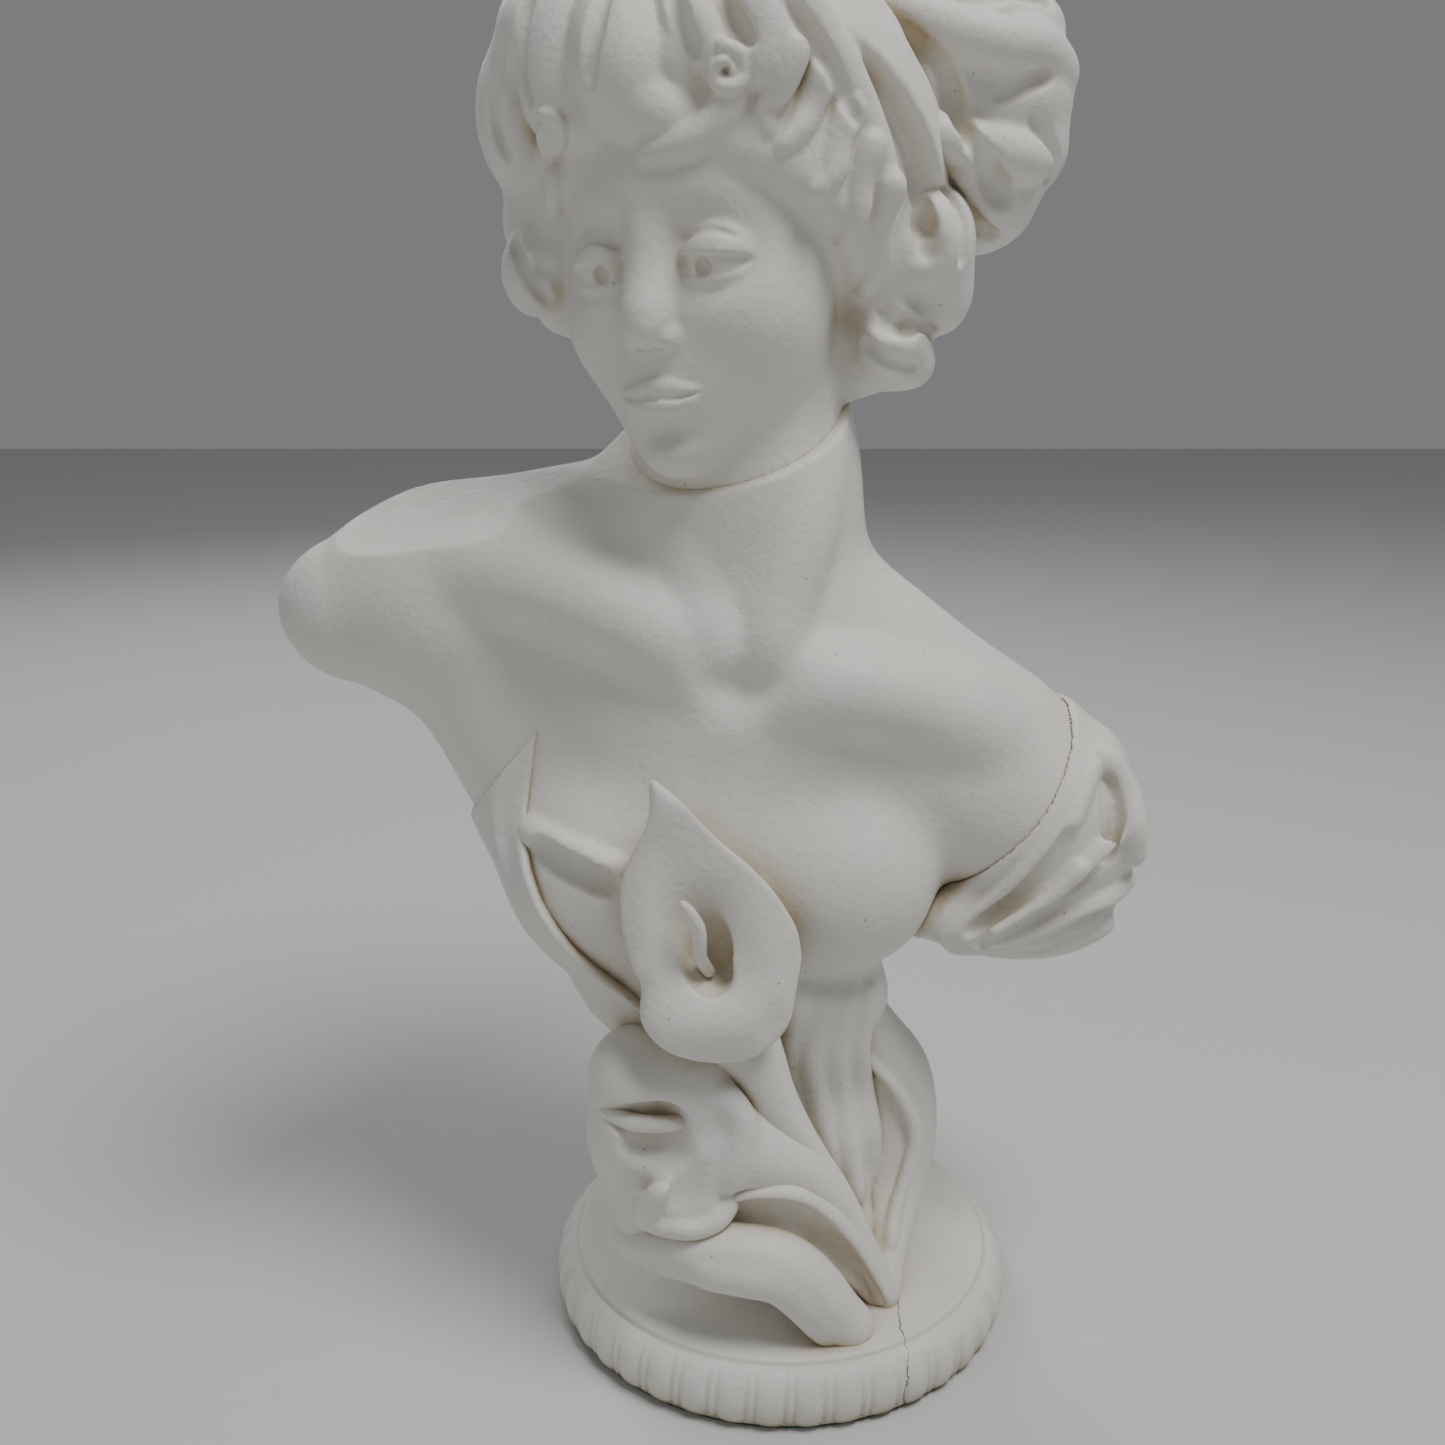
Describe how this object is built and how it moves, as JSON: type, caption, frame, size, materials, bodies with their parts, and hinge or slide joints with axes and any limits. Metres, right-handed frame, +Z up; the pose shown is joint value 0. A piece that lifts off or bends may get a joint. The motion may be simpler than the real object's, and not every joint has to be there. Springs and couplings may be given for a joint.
{
  "type": "marble bust",
  "caption": "Art Nouveau bust of a woman in white marble, with calla lilies at the chest and a round gadrooned socle.",
  "frame": {"origin": "centre of the felt's lower face, which the bust stands on", "axes": "+Z up along the figure, -Y towards the viewer, +X towards the figure's left shoulder"},
  "size_m": [0.2599, 0.15, 0.4195],
  "materials": {
    "marble": "matt",
    "steel": "satin",
    "brass": "satin",
    "felt": "matt"
  },
  "bodies": {
    "root": {"socle": "marble", "torso": "marble", "head": "marble", "chignon": "marble", "shoulder_drape": "marble", "upper_lily": "marble", "lower_lily": "marble", "upper_spadix": "marble", "lower_spadix": "marble", "side_leaf": "marble", "curled_leaf": "marble", "front_leaf": "marble", "inner_leaf": "marble", "tie_rod": "steel", "rod_anchor": "brass", "rod_washer": "steel", "rod_nut": "steel", "socle_dowels": "steel", "neck_dowel": "steel", "chignon_pin": "steel", "drape_pins": "steel", "lily_pins": "brass", "leaf_pins": "brass", "felt_pad": "felt"}
  },
  "joints": []
}
